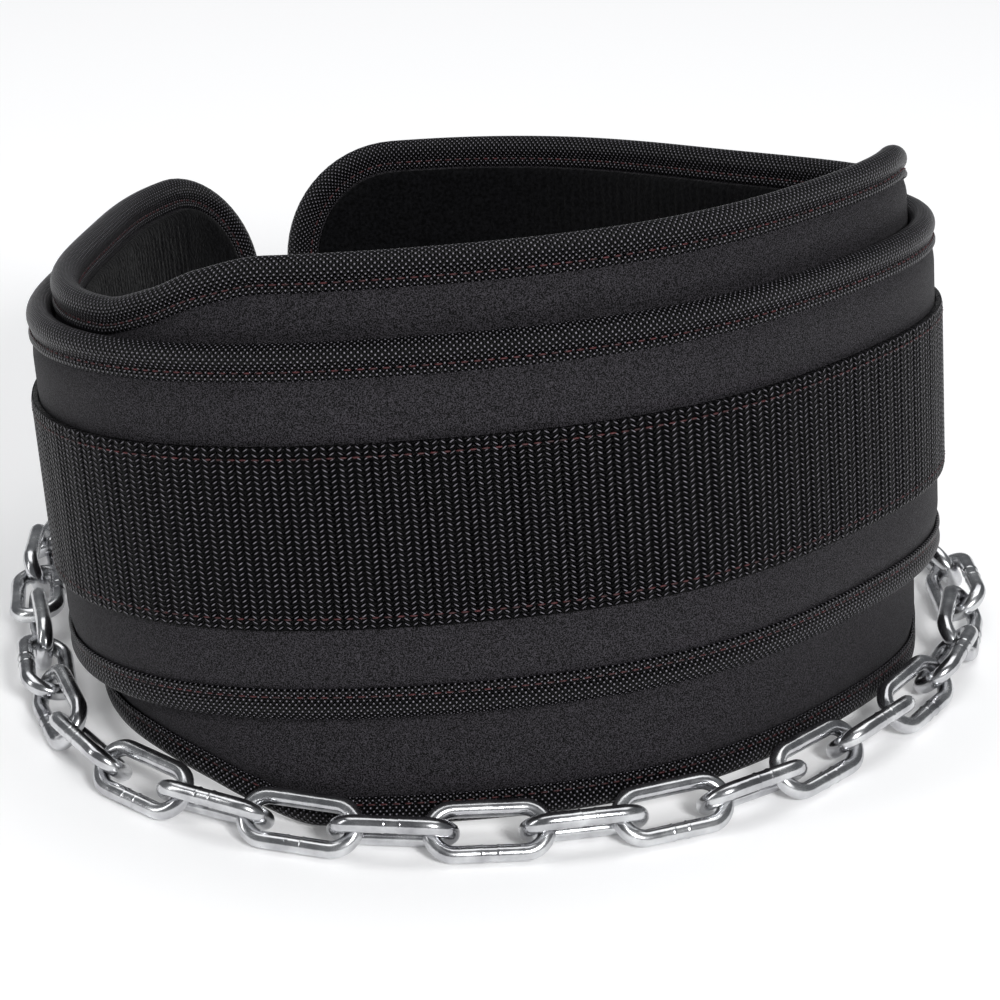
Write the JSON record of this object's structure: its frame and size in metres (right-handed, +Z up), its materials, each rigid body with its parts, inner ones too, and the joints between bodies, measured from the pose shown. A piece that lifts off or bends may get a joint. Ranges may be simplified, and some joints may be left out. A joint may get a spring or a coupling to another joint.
{
  "type": "dip belt",
  "caption": "Padded dip belt standing as an open loop: contoured pad, outer band with ribbed webbing, D-rings and a welded steel chain lying round its foot.",
  "frame": {"origin": "middle of the footprint's bounding box, on the floor the belt stands on", "axes": "+Z up; the wide front of the belt faces -Y; +X is to the right as seen from the front"},
  "size_m": [0.3082, 0.3262, 0.1661],
  "materials": {
    "cloth": "smooth matt knit cloth over foam",
    "plush": "ribbed plush",
    "tape": "woven tape",
    "web": "coarse ribbed webbing",
    "steel": "bright zinc-plated steel"
  },
  "bodies": {
    "root": {"connector_left": "steel", "connector_right": "steel", "link_01": "steel", "link_02": "steel", "link_03": "steel", "link_04": "steel", "link_05": "steel", "link_06": "steel", "link_07": "steel", "link_08": "steel", "link_09": "steel", "link_10": "steel", "link_11": "steel", "link_12": "steel", "link_13": "steel", "link_14": "steel", "link_15": "steel", "link_16": "steel", "link_17": "steel", "link_18": "steel", "link_19": "steel", "link_20": "steel", "link_21": "steel", "link_22": "steel", "link_23": "steel", "link_24": "steel", "link_25": "steel", "link_26": "steel", "link_27": "steel", "link_28": "steel", "link_29": "steel", "link_30": "steel", "link_31": "steel", "link_32": "steel", "link_33": "steel", "main_binding": "tape", "main_pad": "cloth", "outer_band": "cloth", "outer_binding": "tape", "pad_lining": "plush", "ring_left": "steel", "ring_right": "steel", "webbing": "web"}
  },
  "joints": []
}
